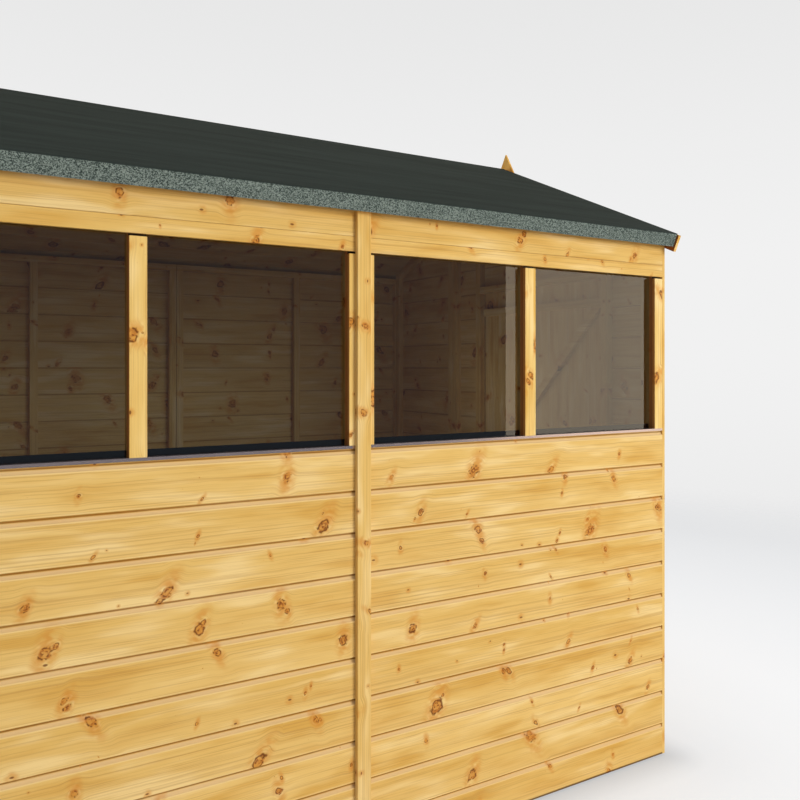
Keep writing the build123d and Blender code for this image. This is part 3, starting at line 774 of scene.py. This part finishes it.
def ramp(tree, value, steps):
    # grey by value: each step is (value, linear grey)
    low, high = steps[0][0], steps[-1][0]
    share = put(tree, "ShaderNodeMapRange", {"Value": value, "From Min": low, "From Max": high})
    node = put(tree, "ShaderNodeValToRGB", {"Fac": share.outputs["Result"]})
    band = node.color_ramp
    for place, grey in steps[1:-1]:
        band.elements.new((place - low) / (high - low)).color = (grey, grey, grey, 1)
    for element, grey in ((band.elements[0], steps[0][1]), (band.elements[-1], steps[-1][1])):
        element.color = (grey, grey, grey, 1)
    return node.outputs["Color"]


def makeFloor(spec):
    shape = bmesh.new()
    bmesh.ops.create_circle(shape, cap_ends=True, segments=spec["floorCorners"], radius=spec["floorRadius"])
    mesh = bpy.data.meshes.new("studioFloor")
    shape.to_mesh(mesh)
    shape.free()
    floor = linkObject("studioFloor", mesh)
    material, tree, surface, place = newMaterial("studioFloor")
    reach = vectorCalc(tree, "LENGTH", place)
    beside = vectorCalc(tree, "SUBTRACT", vectorCalc(tree, "ABSOLUTE", place), spec["halfShed"])
    away = vectorCalc(tree, "LENGTH", vectorCalc(tree, "MAXIMUM", beside, (0, 0, 0)))
    shade = ramp(tree, away, spec["floorShade"])
    seen = put(tree, "ShaderNodeLightPath").outputs["Is Camera Ray"]
    dim = blendColour(tree, 1.0, shade, spec["floorSeen"], "MULTIPLY")
    setSurface(tree, surface, blendColour(tree, seen, spec["floorPaint"], dim), 1.0, 0.0)
    shine = blendColour(tree, 1.0, shade, ramp(tree, reach, spec["floorGlow"]), "MULTIPLY")
    glow = put(tree, "ShaderNodeEmission", {"Color": shine, "Strength": seen})
    lit = put(tree, "ShaderNodeAddShader", {0: surface.outputs[0], 1: glow.outputs[0]})
    clear = put(tree, "ShaderNodeBsdfTransparent")
    gone = fade(tree, reach, *spec["floorFade"])
    showShader(tree, put(tree, "ShaderNodeMixShader", {0: gone, 1: lit.outputs[0], 2: clear.outputs[0]}))
    mesh.materials.append(material)
    return floor


def makeWorld(spec):
    world = bpy.data.worlds.new("studioWorld")
    world.use_nodes = True
    tree = world.node_tree
    tree.nodes.clear()
    bpy.context.scene.world = world
    way = put(tree, "ShaderNodeTexCoord").outputs["Generated"]
    axes = put(tree, "ShaderNodeSeparateXYZ", {0: way}).outputs
    steps = [(height, srgb(grey, grey, grey)[0]) for height, grey in spec["backdrop"]]
    backdrop = ramp(tree, axes["Z"], steps)
    turn = math.radians(spec["paleFrom"])
    beyond = calc(tree, "GREATER_THAN", dot(tree, way, (math.cos(turn), math.sin(turn), 0)), 0.0)
    mirrored = blendColour(tree, beyond, spec["mirrorDark"], spec["mirrorPale"])
    seen = put(tree, "ShaderNodeLightPath").outputs
    sides = put(tree, "ShaderNodeMapRange", {"Value": axes["X"], "From Min": -1.0, "From Max": 1.0,
                                             "To Min": spec["ambientLeft"], "To Max": spec["ambientRight"]})
    above = fade(tree, axes["Z"], *spec["ambientRise"], spec["ambientTop"] - spec["ambientRight"])
    ambient = calc(tree, "ADD", sides.outputs["Result"], above)
    colour = blendColour(tree, seen["Is Glossy Ray"], joinXyz(tree, ambient, ambient, ambient), mirrored)
    colour = blendColour(tree, seen["Is Camera Ray"], colour, backdrop)
    light = put(tree, "ShaderNodeBackground", {"Color": colour, "Strength": 1.0})
    put(tree, "ShaderNodeOutputWorld", {"Surface": light.outputs[0]})


def addLamp(name, data, place, power):
    data.energy = power
    lamp = bpy.data.objects.new(name, data)
    lamp.location = place
    lamp.visible_glossy = False
    lamp.visible_camera = False
    bpy.context.scene.collection.objects.link(lamp)
    return lamp


def addDiskLamp(name, place, size, power, aim, spread=180):
    data = bpy.data.lights.new(name, "AREA")
    data.shape = "DISK"
    data.size = size
    data.spread = math.radians(spread)
    lamp = addLamp(name, data, place, power)
    lamp.rotation_euler = (Vector(aim) - Vector(place)).to_track_quat("-Z", "Y").to_euler()
    return lamp


def addPointLamp(name, place, size, power):
    data = bpy.data.lights.new(name, "POINT")
    data.shadow_soft_size = size
    return addLamp(name, data, place, power)


def spareFromLamp(lamp, thing):
    # the lamp lights everything but this
    spared = bpy.data.collections.new(lamp.name + "Spares")
    spared.objects.link(thing)
    spared.collection_objects[0].light_linking.link_state = "EXCLUDE"
    lamp.light_linking.receiver_collection = spared


studioFloor = makeFloor(studio)
makeWorld(studio)
addDiskLamp("keyLamp", **studio["keyLamp"])
for place, power in studio["roomLamps"]:
    addPointLamp("roomLamp", place, studio["roomLampSize"], power)
spareFromLamp(addDiskLamp("backLamp", **studio["backLamp"]), studioFloor)
bpy.context.scene.view_settings.view_transform = "Standard"
print("studio lit")
